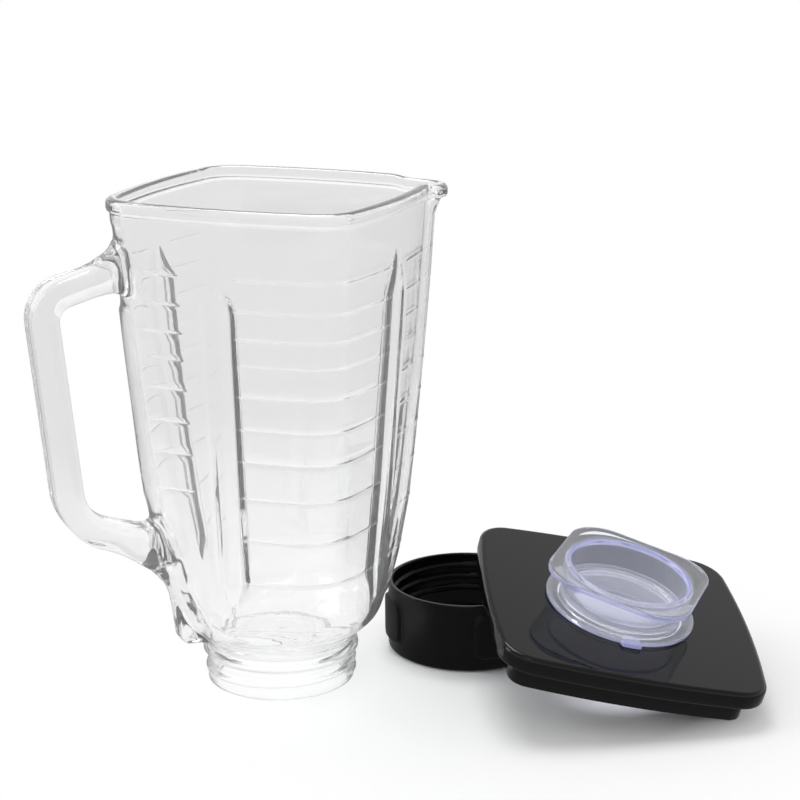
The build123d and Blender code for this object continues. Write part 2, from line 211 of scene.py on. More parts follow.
# %% Lamps
# Name, place, the point that it looks at, width and watts
LAMPS = (
    ("lamp_above", (-0.30, 0.42, 1.55), (0.08, 0.02, 0.0), 0.8, 11.5),
    ("lamp_left", (-1.3, -0.5, 0.9), (0.0, 0.0, 0.1), 0.8, 7.0),
    ("lamp_front", (0.55, -1.0, 1.5), (0.12, 0.03, 0.03), 0.5, 0.8),
)
for lamp_name, lamp_place, lamp_aim, lamp_width, watts in LAMPS:
    bpy.ops.object.light_add(type="AREA", location=lamp_place)
    lamp = bpy.context.object
    lamp.name = lamp_name
    lamp.data.shape = "SQUARE"
    lamp.data.size = lamp_width
    lamp.data.energy = watts
    lamp_way = Vector(lamp_aim) - Vector(lamp_place)
    lamp.rotation_euler = lamp_way.to_track_quat("-Z", "Y").to_euler()
print("soft square lamps:", len(LAMPS))

# %% [markdown]
# ## Clear glass
#
# Pressed glass is clear but never quite flat: its skin has long, very shallow waves. A glass shader
# could do for the clear part alone. A Principled shader also lets a little of the glass look milky,
# a painted lightness where clear glass would go dark, and the raised measuring lines more so: that
# painted highlight is how they show as white lines. A weak bump from slow noise gives the waves. Lamp
# rays pass straight through, so that the jar throws a pale shadow as real glass does.


# %% Finish helpers
def new_finish(name):
    """A material with a Principled shader; gives the material, its nodes, links and shader."""
    finish, nodes, links = empty_finish(name)
    shader = nodes.new("ShaderNodeBsdfPrincipled")
    end = nodes.new("ShaderNodeOutputMaterial")
    links.new(shader.outputs[0], end.inputs["Surface"])
    return finish, nodes, links, shader


def noise_at(nodes, links, scale, detail):
    """Noise on Object coordinates."""
    where = nodes.new("ShaderNodeTexCoord")
    noise = nodes.new("ShaderNodeTexNoise")
    noise.inputs["Scale"].default_value = scale
    noise.inputs["Detail"].default_value = detail
    links.new(where.outputs["Object"], noise.inputs["Vector"])
    return noise.outputs["Fac"]


def mark_of(nodes, name):
    """A share that the piece's own mesh carries at each vertex."""
    mark = nodes.new("ShaderNodeAttribute")
    mark.attribute_name = name
    return mark.outputs["Fac"]


def bump(nodes, links, shader, source, strength, depth):
    """A bump from a height."""
    node = nodes.new("ShaderNodeBump")
    node.inputs["Strength"].default_value = strength
    node.inputs["Distance"].default_value = depth
    links.new(source, node.inputs["Height"])
    links.new(node.outputs["Normal"], shader.inputs["Normal"])


def let_lamps_through(nodes, links, shader, tint):
    """Lamp rays go straight through the clear shader."""
    end = next(node for node in nodes if node.type == "OUTPUT_MATERIAL")
    rays = nodes.new("ShaderNodeLightPath")
    clear = nodes.new("ShaderNodeBsdfTransparent")
    clear.inputs["Color"].default_value = tint
    mixed = mix_shaders(nodes, links, rays.outputs["Is Shadow Ray"], shader.outputs[0], clear.outputs[0])
    links.new(mixed, end.inputs["Surface"])


# %% Glass
jar_finish, nodes, links, shader = new_finish("clear_glass")
shader.inputs["Base Color"].default_value = grey(0.985)
shader.inputs["IOR"].default_value = 1.5
# Painted highlight: the raised measuring lines are less clear, so they show white; the rest of the glass is
# a little milky too, a painted lightness where it would go dark
clearness = spread(nodes, links, mark_of(nodes, "raised_line_painted_highlight"), low=0.94, high=0.70)
links.new(clearness, shader.inputs["Transmission Weight"])
waves = noise_at(nodes, links, scale=16.0, detail=1.0)
links.new(spread(nodes, links, waves, low=0.0, high=0.02), shader.inputs["Roughness"])
bump(nodes, links, shader, waves, strength=0.15, depth=0.0008)
let_lamps_through(nodes, links, shader, tint=(0.93, 0.94, 0.94, 1.0))
print("made", jar_finish.name)

# %% [markdown]
# ## Outline of the jar
#
# The jar is square with bowed sides at the mouth and turns round towards the neck. A few outlines
# could be drawn and bridged, but their corners would drift. One outline does for every height here:
# a square whose sides and corners are arcs, with only its half width and its two radii changing. It
# is measured from the axis outwards at each angle, so that one set of columns can run from the neck
# to the rim.

# %% Jar sizes
mounts = {mount["name"]: mount for mount in frame["record"]["mounts"]}
jar_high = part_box("glass_jar")[1] / MM
jar_height = jar_high.z
bore_r = mounts["neck_bore"]["dims"]["r_mm"]
bore_top = mounts["neck_bore"]["dims"]["length_mm"]
glass_wall = 4.0
neck_r = bore_r + glass_wall
neck_height = 19.0
ring_z = 0.8 * neck_height
ring_r = neck_r + 2.0
top_half = 59.0
body_height = jar_height - neck_height
bead_height = 5.5
bead_overhang = 1.2
spout_reach = 7.0
spout_r = 13.0


def body_at(ratio):
    """Height of a place on the body, from 0 at the neck to 1 at the rim."""
    return neck_height + body_height * ratio


# Height ratio, width ratio, corner radius / half width, side radius / half width
BODY_ROWS = np.array([
    (-0.004, -0.030, 0.980, 1.02),
    (0.025, 0.141, 0.960, 1.04),
    (0.054, 0.379, 0.890, 1.28),
    (0.094, 0.492, 0.790, 1.60),
    (0.138, 0.564, 0.680, 2.05),
    (0.202, 0.607, 0.570, 2.70),
    (0.290, 0.666, 0.440, 3.50),
    (0.399, 0.733, 0.380, 4.00),
    (0.546, 0.811, 0.345, 4.20),
    (0.718, 0.906, 0.315, 4.25),
    (0.900, 0.978, 0.285, 4.30),
    (1.000, 1.004, 0.270, 4.30),
])
row_half = neck_r + (top_half - neck_r) * BODY_ROWS[:, 1]
row_z = body_at(BODY_ROWS[:, 0])
outer_table = np.column_stack([row_half, row_half * BODY_ROWS[:, 3], row_half * BODY_ROWS[:, 2]])
print("jar height", round(jar_height, 1), "bore radius", bore_r)


# %% Outline helpers
def smooth_table(heights, table, z):
    """Values of a table at height z, on a smooth curve through its rows."""
    z = np.clip(z, heights[0], heights[-1])
    i = int(np.clip(np.searchsorted(heights, z) - 1, 0, len(heights) - 2))
    slopes = np.gradient(table, heights, axis=0)
    span = heights[i + 1] - heights[i]
    t = (z - heights[i]) / span
    from_low = 2 * t ** 3 - 3 * t ** 2 + 1
    low_slope = t ** 3 - 2 * t ** 2 + t
    from_high = -2 * t ** 3 + 3 * t ** 2
    high_slope = t ** 3 - t ** 2
    return (from_low * table[i] + low_slope * span * slopes[i]
            + from_high * table[i + 1] + high_slope * span * slopes[i + 1])


def corner_centre(half, side_r, corner_r):
    """Distance of a corner arc's centre from both axes."""
    k = half - side_r
    return (k + math.sqrt(2 * (side_r - corner_r) ** 2 - k * k)) / 2


def corner_reach(half, side_r, corner_r):
    """Distance of a corner from the axis."""
    return corner_centre(half, side_r, corner_r) * math.sqrt(2) + corner_r


def from_side_middle(angle):
    """Angle from the middle of the nearest of four sides."""
    return np.abs((angle + EIGHTH_TURN) % QUARTER_TURN - EIGHTH_TURN)


def corner_arc(away, centre, corner_r):
    """Distance from the axis to a corner's arc, at an angle from the side's middle."""
    off = centre * (np.cos(away) - np.sin(away))
    return centre * (np.cos(away) + np.sin(away)) + np.sqrt(np.maximum(corner_r ** 2 - off ** 2, 0.0))


def square_radius(angle, half, side_r, corner_r):
    """Distance from the axis to a bowed square, at each angle."""
    away = from_side_middle(angle)
    k = half - side_r
    centre = corner_centre(half, side_r, corner_r)
    reach = math.atan2(centre, centre - k)
    meet = math.atan2(side_r * math.sin(reach), k + side_r * math.cos(reach))
    side = k * np.cos(away) + np.sqrt(side_r ** 2 - (k * np.sin(away)) ** 2)
    return np.where(away < meet, side, corner_arc(away, centre, corner_r))


def circle_side(angle, away, radius, side, missed):
    """Distance from the axis to the near side (-1) or far side (1) of a circle that stands at angle 0.

    Where a ray misses the circle, it is the value of missed.
    """
    off = away * np.sin(angle)
    met = (np.abs(off) < radius) & (np.cos(angle) > 0)
    half_chord = np.sqrt(np.maximum(radius ** 2 - off ** 2, 0.0))
    return np.where(met, away * np.cos(angle) + side * half_chord, missed)


def soft_max(a, b, blend):
    """The larger of two, rounded where they cross."""
    near = np.maximum(blend - np.abs(a - b), 0.0) / blend
    return np.maximum(a, b) + near * near * blend / 4


def soft_min(a, b, blend):
    """The smaller of two, rounded where they cross."""
    return -soft_max(-a, -b, blend)


rim_half, rim_side, rim_corner = outer_table[-1]
rim_reach = corner_reach(rim_half, rim_side, rim_corner)
print("rim half width", round(rim_half, 1), "corner at", round(rim_reach, 1))

# %% [markdown]
# ## Columns and rows of the glass
#
# The glass is one closed skin: up the outside, over the rim, and down the inside to the bore. It could
# be a box with many cuts, but the skin is a ring shape, so a torus with many segments is a better
# start: each of its loops becomes one row of the jar. Columns lie close together over the flutes,
# where the skin turns quickly. The flutes, the pour channel, the thread and the raised measuring lines
# are all small changes of the distance from the axis.

# %% Columns
flute_span = 8.0
dense = np.radians(np.linspace(-flute_span, flute_span, 33)[:-1])
sparse = np.radians(np.linspace(flute_span, 90.0 - flute_span, 53)[:-1])
quarter = np.concatenate([dense, sparse])
columns = np.concatenate([quarter + turn * QUARTER_TURN for turn in range(4)]) % FULL_TURN
columns = np.sort(columns)
print("columns round the jar:", len(columns))

# %% Flutes
flute_depth = 2.6
flute_r = 2.0 * flute_depth
flute_low = body_at(0.13)
flute_high = body_at(0.86)
flute_point = 5.0 * flute_depth
flute_tip = 0.25
flute_low_half = smooth_table(row_z, outer_table, flute_low)[0]
flute_high_half = smooth_table(row_z, outer_table, flute_high)[0]
# How much shallower, how many times softer and how many times wider a flute is, in the order
# right, back, left, front: the back one hardly shows in the picture
FLUTE_WEAR = ((0.3, 2.0, 1.3), (1.5, 2.6, 2.2), (0.0, 1.0, 1.0), (0.0, 1.0, 1.0))


def flute_at(z, tool, grow):
    """Distance from the axis and radius, at height z, of the round tool that presses a flute."""
    up = (z - flute_low) / (flute_high - flute_low)
    away = flute_low_half + (flute_high_half - flute_low_half) * up + flute_r - flute_depth
    end = min(z - flute_low, flute_high - z) + grow
    if end <= 0:
        return away, 0.0
    return away, tool * min(1.0, flute_tip + (1 - flute_tip) * end / (flute_point + grow))


def press_flutes(radius, z, tool, grow, blend):
    """The skin with the four flutes pressed in."""
    deep, reach = flute_at(z, tool, grow)
    if reach <= 0:
        return radius
    for turn, (shallow, softer, wider) in enumerate(FLUTE_WEAR):
        away = deep + shallow + (wider - 1) * reach
        bent = (columns - turn * QUARTER_TURN + math.pi) % FULL_TURN - math.pi
        groove = circle_side(bent, away, wider * reach, side=-1, missed=1e3)
        radius = soft_min(radius, groove, softer * blend)
    return radius


print("flutes from", round(flute_low, 1), "to", round(flute_high, 1))

# %% Pour channel
lip_away = rim_reach + bead_overhang + spout_reach - spout_r
# Height ratio, stand-out from the corner / spout reach, radius / corner radius
SPOUT_ROWS = ((0.100, -0.10, 0.92), (0.180, 0.20, 0.88), (0.300, 0.30, 0.86),
              (0.550, 0.29, 0.86), (0.820, 0.31, 0.84), (0.935, 0.37, 0.82))
spout_z = []
spout_table = []
for ratio, stand, round_share in SPOUT_ROWS:
    half, side_r, corner_r = smooth_table(row_z, outer_table, body_at(ratio))
    channel_r = round_share * corner_r
    spout_z.append(body_at(ratio))
    spout_table.append((corner_reach(half, side_r, corner_r) + stand * spout_reach - channel_r, channel_r))
spout_z.append(jar_height - 0.5 * bead_height)
spout_table.append((lip_away - 0.5, spout_r - 0.9))
spout_z = np.array(spout_z)
spout_table = np.array(spout_table)


def draw_spout(radius, z, shrink, blend):
    """The skin with the pour channel drawn out at the spout corner."""
    if z < spout_z[0]:
        return radius
    away, reach = (np.interp(z, spout_z, spout_table[:, k]) for k in (0, 1))
    channel = circle_side(columns - EIGHTH_TURN, away, reach - shrink, side=1, missed=0.0)
    return soft_max(radius, channel, blend)


print("pour channel from", round(spout_z[0], 1), "up, lip at", round(lip_away + spout_r, 1))


# %% Thread and measuring lines
def ease(share):
    """A share from 0 to 1 with soft ends."""
    return share * share * (3 - 2 * share)


def winding(turned, z, start, pitch, turns, crest, slope):
    """How far a thread stands out, from 0 to 1, at a share of a turn and a height."""
    run_out = 14
    rise = np.zeros(len(turned))
    for lap in range(math.ceil(turns) + 1):
        wound = turned + lap
        ends = np.clip(np.minimum(wound, turns - wound) * run_out, 0, 1)
        rise = np.maximum(rise, ends * np.clip(crest - np.abs(z - start - pitch * wound) / slope, 0, 1))
    return ease(rise)


thread_rise = 0.9


def thread(z):
    """How far the neck's thread stands out at height z, at each column."""
    turned = columns / FULL_TURN
    return thread_rise * winding(turned, z, start=3.4, pitch=5.0, turns=1.55, crest=1.35, slope=1.25)


LINE_HEIGHTS = (60.1, 80.4, 99.1, 115.5, 129.6, 143.9, 156.8, 168.6, 180.4, 193.2)
line_rise = 0.36
line_half = 0.70
line_fade = 1.5
# Angles from and to, the lowest line that reaches there, and how clear the lines are there
LINE_SPANS = ((-83.0, -7.0, 0, 1.0), (7.5, 40.0, 0, 0.6), (-124.0, -107.0, 2, 1.0),
              (146.0, 172.0, 0, 0.6), (188.0, 214.0, 2, 0.6))


def lines(z):
    """How far the measuring lines stand out at height z, from 0 to 1, at each column."""
    rise = np.zeros(len(columns))
    angle = np.degrees(columns)
    for number, line_z in enumerate(LINE_HEIGHTS):
        shape = max(0.0, 1.0 - abs(z - line_z) / line_half)
        for first, last, lowest, clear in LINE_SPANS:
            if shape > 0 and number >= lowest:
                off = np.abs((angle - (first + last) / 2 + 180) % 360 - 180)
                inside_span = np.clip(((last - first) / 2 - off) / line_fade, 0, 1)
                rise = np.maximum(rise, clear * inside_span * shape)
    return ease(rise)


print("measuring lines:", len(LINE_HEIGHTS), "thread", thread_rise, "mm high")

# %% Rows of the outside
jar_rows = []


def add_row(radius, z):
    """One loop of the skin: its distance from the axis at each column, and its height."""
    jar_rows.append((np.broadcast_to(np.asarray(radius, float), columns.shape).copy(), z))


for reach, z in ((bore_r + 0.4, 0.0), (bore_r + 1.6, 0.0), (neck_r - 1.2, 0.0), (neck_r - 0.5, 0.2),
                 (neck_r - 0.12, 0.65), (neck_r, 1.2)):
    add_row(reach, z)
for z in np.arange(1.6, ring_z - 2.4, 0.4):
    add_row(neck_r + thread(z), z)
ring_side = [(neck_r, 2.4), (neck_r + 0.2, 2.0), (ring_r - 0.5, 1.15), (ring_r - 0.08, 0.75)]
for reach, down in ring_side + [(ring_r, 0.0)]:
    add_row(reach, ring_z - down)
for reach, up in reversed(ring_side):
    add_row(reach, ring_z + up)

# From, to and step of the body's heights, with close steps where the outline turns quickly
BODY_STEPS = ((neck_height - 0.6, 52.0, 1.3), (52.0, 84.0, 2.0), (84.0, 168.0, 4.0),
              (168.0, jar_height - bead_height - 0.4, 2.0))
body_z = np.concatenate([np.arange(*steps) for steps in BODY_STEPS])
for line_z in LINE_HEIGHTS:
    body_z = [z for z in body_z if abs(z - line_z) > 1.2 * line_half]
    body_z += [line_z + line_half * step for step in (-1.0, -0.55, 0.0, 0.55, 1.0)]
body_z = sorted(body_z)


def outside(z):
    """Outer skin at height z, at each column."""
    radius = square_radius(columns, *smooth_table(row_z, outer_table, z))
    radius = soft_max(radius, np.full(len(columns), neck_r), blend=0.8)
    radius = draw_spout(radius, z, shrink=0.0, blend=4.0)
    return press_flutes(radius, z, flute_r, grow=0.0, blend=2.2)


lip_depth = 2.0
from_lip = np.abs(np.degrees(columns) - 45.0)
lip_dip = lip_depth * ease(np.clip((15.0 - from_lip) / 9.0, 0, 1))


def with_dip(z):
    """Heights of a row on the wall: near the rim, it dips at the lip."""
    return z - lip_dip * np.clip((z - jar_height + 20.0) / 14.0, 0, 1)


line_rows = []
for z in body_z:
    line_rows.append((len(jar_rows), z))
    add_row(outside(z) + line_rise * lines(z), with_dip(z))
print("rows of the outside:", len(jar_rows))


# %% Rows of the rim and the inside
def rim(grow):
    """Outline of the rim with the spout's lip, grown by a distance."""
    square = square_radius(columns, rim_half + grow, rim_side + grow, rim_corner + grow)
    lip_r = spout_r + grow - bead_overhang
    lip = circle_side(columns - EIGHTH_TURN, lip_away, lip_r, side=1, missed=0.0)
    return soft_max(square, lip, blend=6.0)


# Growth of the rim's outline, and how far below the top: over the bead, from outside to inside
RIM_ROWS = ((0.35, 5.5), (0.85, 5.1), (1.12, 4.6), (1.2, 3.8), (1.2, 2.4), (1.0, 1.35), (0.55, 0.62),
            (-0.15, 0.16), (-1.0, 0.0), (-2.0, 0.0), (-2.7, 0.25), (-3.3, 0.8), (-3.75, 1.6), (-4.0, 2.8))
for grow, down in RIM_ROWS:
    add_row(rim(grow), jar_height - down - lip_dip)

inner_z = []
inner_table = []
for i in range(len(row_z)):
    low, high = max(i - 1, 0), min(i + 1, len(row_z) - 1)
    slope = (row_half[high] - row_half[low]) / (row_z[high] - row_z[low])
    length = math.hypot(1.0, slope)
    inset, lift = glass_wall / length, glass_wall * slope / length
    if i == len(row_z) - 1:
        inset, lift = glass_wall, 0.0
    inner_z.append(row_z[i] + lift)
    inner_table.append(outer_table[i] - inset)
inner_z = np.array(inner_z)
inner_table = np.array(inner_table)
# Heights, and how much heavier the glass is there in its corners; its sides get a share of that
HEAVY_Z = (25.0, 34.0, 56.0, 90.0, 130.0, 185.0, 200.0)
HEAVY_GLASS = (0.0, 4.2, 4.6, 2.2, 0.6, 0.6, 0.0)
heavy_side = 0.3


def inside(z):
    """Inner skin at height z, at each column."""
    radius = square_radius(columns, *smooth_table(inner_z, inner_table, z))
    radius = draw_spout(radius, z, shrink=glass_wall - 0.4, blend=4.0)
    radius = press_flutes(radius, z, flute_r + glass_wall, grow=0.5 * glass_wall, blend=4.0)
    heavy = np.interp(z, HEAVY_Z, HEAVY_GLASS)
    radius = radius - heavy * (heavy_side + (1 - heavy_side) * (1 - np.cos(4 * columns)) / 2)
    cone = min(bore_r + (z - bore_top) / 1.3, bore_r + 4.2)
    return soft_max(radius, np.full(len(columns), cone), blend=1.0)


for z in np.concatenate([np.arange(jar_height - 6.0, 60.0, -3.5), np.arange(60.0, bore_top + 1.0, -1.6)]):
    add_row(inside(z), with_dip(z))
for reach, z in ((bore_r + 0.25, bore_top + 0.3), (bore_r, bore_top - 0.6), (bore_r, 12.0),
                 (bore_r, 6.0), (bore_r, 1.0), (bore_r + 0.1, 0.3)):
    add_row(reach, z)
print("rows of the whole skin:", len(jar_rows))

# %% [markdown]
# ## The skin of the jar
#
# A torus primitive has loops both ways round. The rows could be bridged one by one instead, but the
# torus is already closed. Each vertex knows its loop and its column from where it stands on the
# torus, and moves to the place that the rows give.


# %% Piece helpers
def start_clean():
    """Leave edit mode with nothing selected."""
    if bpy.context.object and bpy.context.object.mode != "OBJECT":
        bpy.ops.object.mode_set(mode="OBJECT")
    bpy.ops.object.select_all(action="DESELECT")


def choose(piece):
    """Only this piece is selected and active."""
    start_clean()
    piece.select_set(True)
    bpy.context.view_layer.objects.active = piece


def fresh_piece(name):
    """The primitive that was just added, under its name, with the places of its vertices."""
    piece = bpy.context.object
    piece.name = name
    return piece, get_points(piece)


def get_points(piece):
    """Places of a piece's vertices, in metres."""
    points = np.empty(len(piece.data.vertices) * 3, dtype=np.float32)
    piece.data.vertices.foreach_get("co", points)
    return points.reshape(-1, 3).astype(float)


def put_points(piece, points):
    """Move a piece's vertices to these places, in metres."""
    piece.data.vertices.foreach_set("co", np.asarray(points, dtype=np.float32).ravel())
    piece.data.update()


def mark_points(piece, name, values):
    """Give a piece's vertices a value that its finish reads."""
    mark = piece.data.attributes.new(name, "FLOAT", "POINT")
    mark.data.foreach_set("value", values.astype(np.float32))


def face_outwards(piece):
    """All faces of a closed piece look outwards."""
    choose(piece)
    bpy.ops.object.mode_set(mode="EDIT")
    bpy.ops.mesh.select_all(action="SELECT")
    bpy.ops.mesh.remove_doubles(threshold=1e-6)
    bpy.ops.mesh.normals_make_consistent(inside=False)
    bpy.ops.object.mode_set(mode="OBJECT")


def dress(piece, finish, degrees):
    """Give a piece its finish and smooth shading, with edges sharper than this kept crisp."""
    choose(piece)
    bpy.ops.object.shade_smooth_by_angle(angle=math.radians(degrees))
    piece.data.materials.clear()
    piece.data.materials.append(finish)


# %% Jar skin
def column_of(seat, count):
    """Which of the columns each vertex of a round primitive stands in."""
    turn = np.arctan2(seat[:, 1], seat[:, 0]) / FULL_TURN
    return np.rint(turn * count).astype(int) % count


def round_axis(reach, angle, height):
    """Places in metres from a distance to the axis, an angle and a height."""
    metres = reach * MM
    return np.column_stack([metres * np.cos(angle), metres * np.sin(angle), height * MM])


def ring_piece(name, rows, angles, marks=None):
    """A closed ring: every row is a loop round the axis, and the last row meets the first."""
    start_clean()
    bpy.ops.mesh.primitive_torus_add(
        major_segments=len(angles), minor_segments=len(rows), major_radius=1.0, minor_radius=0.25
    )
    piece, seat = fresh_piece(name)
    column = column_of(seat, len(angles))
    lift = np.arctan2(seat[:, 2], np.hypot(seat[:, 0], seat[:, 1]) - 1.0) / FULL_TURN
    row = np.rint(lift * len(rows)).astype(int) % len(rows)
    radius = np.array([np.broadcast_to(reach, angles.shape) for reach, z in rows])
    height = np.array([np.broadcast_to(z, angles.shape) for reach, z in rows])
    put_points(piece, round_axis(radius[row, column], angles[column], height[row, column]))
    if marks is not None:
        mark_points(piece, "raised_line_painted_highlight", marks[row, column])
    face_outwards(piece)
    return piece


# Share of painted highlight on each raised measuring line, which the glass finish turns into milkiness
line_painted_highlight = np.zeros((len(jar_rows), len(columns)))
for index, z in line_rows:
    line_painted_highlight[index] = lines(z)
jar = ring_piece("jar_body", jar_rows, columns, line_painted_highlight)
print("jar skin vertices:", len(jar.data.vertices))

# %% [markdown]
# ## Handle and lug
#
# The handle is cast with the body: a flat bar that leaves the corner under the rim, turns down, and
# comes back near the foot. A curve with a bevel could give the bar, but not its flared ends. So a grid
# is rolled into a bar: a round-cornered section is carried along the handle's line and swells where
# it meets the wall. Under the handle a small lug keys the jar to its motor base. It is an outline that
# is extruded and bevelled.

# %% Handle line
handle_width = 17.0
handle_thick = 12.4
handle_reach = 38.0
bend_r = 1.45 * handle_thick


def reach_at(ratio):
    """Distance of the body's corner from the axis, at a place on the body."""
    return corner_reach(*smooth_table(row_z, outer_table, body_at(ratio)))


def rounded_line(points, radii, step):
    """Points along a line with rounded corners, each with its direction."""
    bend_steps = 14
    out = []
    start = points[0]
    for i in range(1, len(points)):
        here = points[i]
        way = (here - points[i - 1]) / np.linalg.norm(here - points[i - 1])
        if i == len(points) - 1:
            end = here
        else:
            radius = radii[i - 1]
            after = (points[i + 1] - here) / np.linalg.norm(points[i + 1] - here)
            half_turn = math.acos(np.clip(way @ after, -1, 1)) / 2
            end = here - way * radius * math.tan(half_turn)
        count = max(2, int(np.linalg.norm(end - start) / step))
        for k in range(count):
            out.append((start + (end - start) * k / count, way))
        if i == len(points) - 1:
            out.append((end, way))
            break
        side = np.array([-way[1], way[0]])
        if side @ after < 0:
            side = -side
        centre = end + side * radius
        for k in range(bend_steps):
            angle = 2 * half_turn * k / bend_steps
            out.append((centre - side * radius * math.cos(angle) + way * radius * math.sin(angle),
                        way * math.cos(angle) + side * math.sin(angle)))
        start = here + after * radius * math.tan(half_turn)
    return out


top_corner = reach_at(0.84)
low_corner = reach_at(0.26)
bar_reach = handle_reach - handle_thick / 2
handle_corners = [
    np.array([top_corner - 4.0, body_at(0.855)]),
    np.array([top_corner + bar_reach + 1.2, body_at(0.802)]),
    np.array([low_corner + bar_reach + 4.5, body_at(0.318)]),
    np.array([low_corner - 5.0, body_at(0.235)]),
]
handle_line = rounded_line(handle_corners, (0.7 * bend_r, 1.3 * bend_r), step=2.2)
print("points along the handle:", len(handle_line))


# %% Handle
def bar_section(width, thick, corners, steps):
    """Points round a bar's section: round corners, joined by flats with two points on each."""
    points = []
    for turn in range(4):
        right, up = ((1, 1), (-1, 1), (-1, -1), (1, -1))[turn]
        corner = corners[turn]
        centre = np.array([right * (width / 2 - corner), up * (thick / 2 - corner)])
        for k in range(steps + 1):
            angle = (turn + k / steps) * math.pi / 2
            points.append(centre + corner * np.array([math.cos(angle), math.sin(angle)]))
        flat = (width if turn % 2 == 0 else thick) - corner - corners[(turn + 1) % 4]
        way = np.array(((-1, 0), (0, -1), (1, 0), (0, 1))[turn])
        last = points[-1]
        points += [last + way * flat * along for along in (0.33, 0.67)]
    return points


# Shares of the way from a root, and how many times broader and taller the bar is there
ROOT_WAY = (0.0, 0.16, 0.30, 0.42)
ROOT_BROAD = (1.45, 1.14, 1.03, 1.0)
ROOT_TALL = (1.75, 1.28, 1.08, 1.0)
LOW_ROOT_WAY = (0.0, 0.16, 0.30, 0.45, 0.62)
LOW_ROOT_TALL = (1.85, 1.55, 1.30, 1.10, 1.0)
across = np.array([-1.0, 1.0, 0.0]) / math.sqrt(2)
outwards = np.array([-1.0, -1.0, 0.0]) / math.sqrt(2)
upwards = np.array([0.0, 0.0, 1.0])
corner_steps = 8
section_count = 4 * (corner_steps + 3)
line_count = len(handle_line) - 1
bar_round = 0.36 * handle_thick
start_clean()
bpy.ops.mesh.primitive_grid_add(x_subdivisions=section_count, y_subdivisions=line_count, size=1.0)
handle, seat = fresh_piece("jar_handle")
column = np.rint((seat[:, 0] + 0.5) * section_count).astype(int) % section_count
row = np.rint((seat[:, 1] + 0.5) * line_count).astype(int)
upper_length = np.linalg.norm(handle_corners[1] - handle_corners[0])
lower_length = np.linalg.norm(handle_corners[3] - handle_corners[2])
bar_spots = np.empty((len(handle_line), section_count, 3))
for i, (spot, way) in enumerate(handle_line):
    from_top = np.linalg.norm(spot - handle_corners[0]) / upper_length
    from_low = np.linalg.norm(spot - handle_corners[3]) / lower_length
    broad = max(np.interp(along, ROOT_WAY, ROOT_BROAD) for along in (from_top, from_low))
    tall = max(np.interp(from_top, ROOT_WAY, ROOT_TALL), np.interp(from_low, LOW_ROOT_WAY, LOW_ROOT_TALL))
    side = np.array([-way[1], way[0]])
    crisp = bar_round - 3.2 * np.clip((min(from_top, from_low) - 0.5) / 0.3, 0, 1)
    corners = (crisp, crisp, bar_round, bar_round)
    section = bar_section(handle_width * broad - 0.1, handle_thick * tall - 0.1, corners, corner_steps)
    for k, (u, v) in enumerate(section):
        flat = spot + side * v
        bar_spots[i, k] = across * u + outwards * flat[0] + upwards * flat[1]
put_points(handle, bar_spots[row, column] * MM)
bpy.ops.object.mode_set(mode="EDIT")
bpy.ops.mesh.select_all(action="SELECT")
bpy.ops.mesh.remove_doubles(threshold=1e-6)
bpy.ops.mesh.select_all(action="DESELECT")
bpy.ops.mesh.select_non_manifold()
bpy.ops.mesh.edge_face_add()
bpy.ops.object.mode_set(mode="OBJECT")
face_outwards(handle)
print("handle vertices:", len(handle.data.vertices))


# %% Lug under the handle
def loop_order(seat):
    """Vertices of a circle primitive in order round it."""
    return np.argsort(np.arctan2(seat[:, 1], seat[:, 0]) % FULL_TURN)


lug_reach = reach_at(0.14)
lug_foot = neck_height + 3.0
lug_half = 0.26 * handle_width
lug_outline = [
    (bore_r + 3.0, lug_foot),
    (lug_reach - 7.0, lug_foot),
    (lug_reach - 3.8, lug_foot + 3.0),
    (lug_reach - 1.0, body_at(0.130)),
    (lug_reach + 1.5, body_at(0.155)),
    (low_corner + 4.0, body_at(0.195)),
    (bore_r + 3.0, body_at(0.195)),
]
start_clean()
bpy.ops.mesh.primitive_circle_add(vertices=len(lug_outline), radius=1.0, fill_type="NGON")
lug, seat = fresh_piece("jar_lug")
lug_spots = np.empty_like(seat)
for (reach, z), index in zip(lug_outline, loop_order(seat)):
    lug_spots[index] = outwards * reach + upwards * z - across * lug_half
put_points(lug, lug_spots * MM)
bpy.ops.object.mode_set(mode="EDIT")
bpy.ops.mesh.select_all(action="SELECT")
bpy.ops.mesh.extrude_region_move(TRANSFORM_OT_translate={"value": tuple(across * 2 * lug_half * MM)})
bpy.ops.mesh.select_all(action="SELECT")
bpy.ops.mesh.bevel(offset=1.3 * MM, segments=3, affect="EDGES")
bpy.ops.object.mode_set(mode="OBJECT")
face_outwards(lug)
print("lug vertices:", len(lug.data.vertices))

# %% [markdown]
# ## One casting
#
# Glass shows every inner boundary, so the handle and the lug can't just be pushed into the body: they
# must become one skin with it. First their inner ends are cut off at the middle of the wall, so that
# nothing pokes into the jar, and then a boolean union joins them. The seam gets smoothed into the soft
# roots that pressed glass always has.


# %% Join the casting
def boolean(piece, other, way):
    """Cut or join a piece with another one, which is then removed."""
    choose(piece)
    step = piece.modifiers.new(way.lower(), "BOOLEAN")
    step.operation = way
    step.solver = "EXACT"
    step.object = other
    bpy.ops.object.modifier_apply(modifier=step.name)
    bpy.data.objects.remove(other, do_unlink=True)


